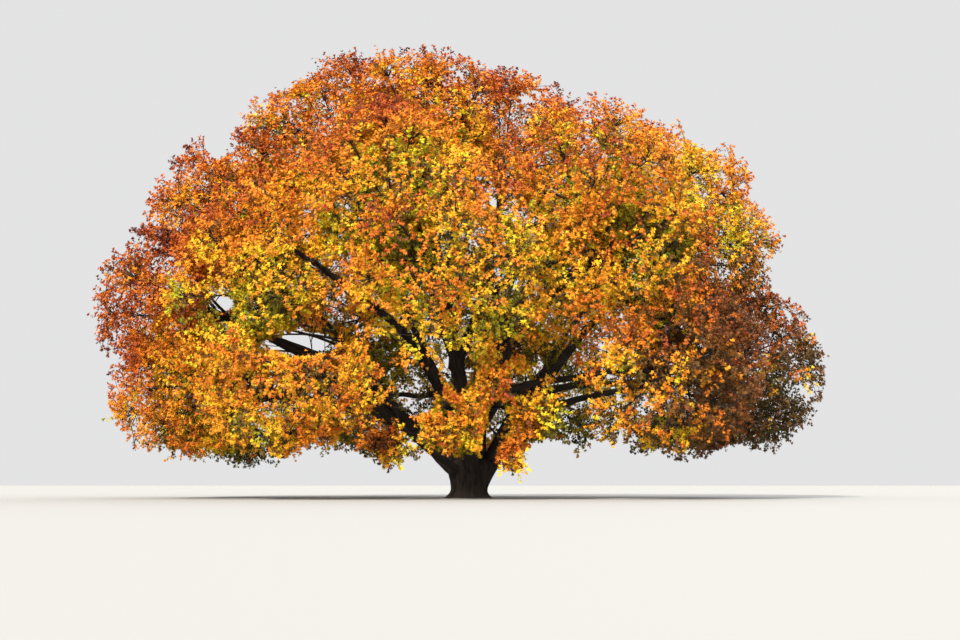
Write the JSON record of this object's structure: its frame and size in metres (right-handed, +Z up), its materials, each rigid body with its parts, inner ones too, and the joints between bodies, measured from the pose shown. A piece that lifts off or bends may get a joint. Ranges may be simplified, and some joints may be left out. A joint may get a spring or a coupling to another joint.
{
  "type": "red maple tree",
  "caption": "Broad open-grown red maple in orange and gold autumn leaf: a short trunk that forks low into a fan of boughs under a wide domed crown.",
  "frame": {"origin": "centre of the flat cut under the trunk, at ground level", "axes": "+Z up; +X to the right in the picture, along the crown's widest spread; +Y away from the viewer"},
  "size_m": [25.0091, 21.7755, 15.3719],
  "materials": {
    "trunk_bark": "rough, furrowed grey-brown bark",
    "bough_bark": "rough grey-brown bark, finer than the trunk's",
    "red_leaves": "matt red-orange autumn leaves",
    "orange_leaves": "matt orange autumn leaves",
    "gold_leaves": "matt golden-yellow autumn leaves with some green"
  },
  "bodies": {
    "root": {"trunk": "trunk_bark", "bough_shoulder_1": "bough_bark", "bough_shoulder_2": "bough_bark", "bough_shoulder_3": "bough_bark", "bough_shoulder_4": "bough_bark", "bough_shoulder_5": "bough_bark", "bough_shoulder_6": "bough_bark", "bough_shoulder_7": "bough_bark", "bough_shoulder_8": "bough_bark", "bough_shoulder_9": "bough_bark", "bough_cap_1": "bough_bark", "bough_cap_2": "bough_bark", "bough_cap_3": "bough_bark", "bough_cap_4": "bough_bark", "bough_dome_1": "bough_bark", "bough_dome_2": "bough_bark", "bough_dome_3": "bough_bark", "bough_dome_4": "bough_bark", "bough_dome_5": "bough_bark", "bough_dome_6": "bough_bark", "bough_dome_7": "bough_bark", "bough_skirt_1": "bough_bark", "bough_skirt_2": "bough_bark", "bough_skirt_3": "bough_bark", "bough_skirt_4": "bough_bark", "bough_skirt_5": "bough_bark", "bough_skirt_6": "bough_bark", "bough_skirt_7": "bough_bark", "bough_skirt_8": "bough_bark", "bough_skirt_9": "bough_bark", "foliage_shoulder_1": "orange_leaves", "foliage_shoulder_2": "orange_leaves", "foliage_shoulder_3": "orange_leaves", "foliage_shoulder_4": "orange_leaves", "foliage_shoulder_5": "orange_leaves", "foliage_shoulder_6": "orange_leaves", "foliage_shoulder_7": "orange_leaves", "foliage_shoulder_8": "orange_leaves", "foliage_shoulder_9": "orange_leaves", "foliage_cap_1": "red_leaves", "foliage_cap_2": "red_leaves", "foliage_cap_3": "red_leaves", "foliage_cap_4": "red_leaves", "foliage_dome_1": "orange_leaves", "foliage_dome_2": "orange_leaves", "foliage_dome_3": "orange_leaves", "foliage_dome_4": "orange_leaves", "foliage_dome_5": "orange_leaves", "foliage_dome_6": "orange_leaves", "foliage_dome_7": "orange_leaves", "foliage_skirt_1": "gold_leaves", "foliage_skirt_2": "gold_leaves", "foliage_skirt_3": "gold_leaves", "foliage_skirt_4": "gold_leaves", "foliage_skirt_5": "gold_leaves", "foliage_skirt_6": "gold_leaves", "foliage_skirt_7": "gold_leaves", "foliage_skirt_8": "gold_leaves", "foliage_skirt_9": "gold_leaves"}
  },
  "joints": []
}
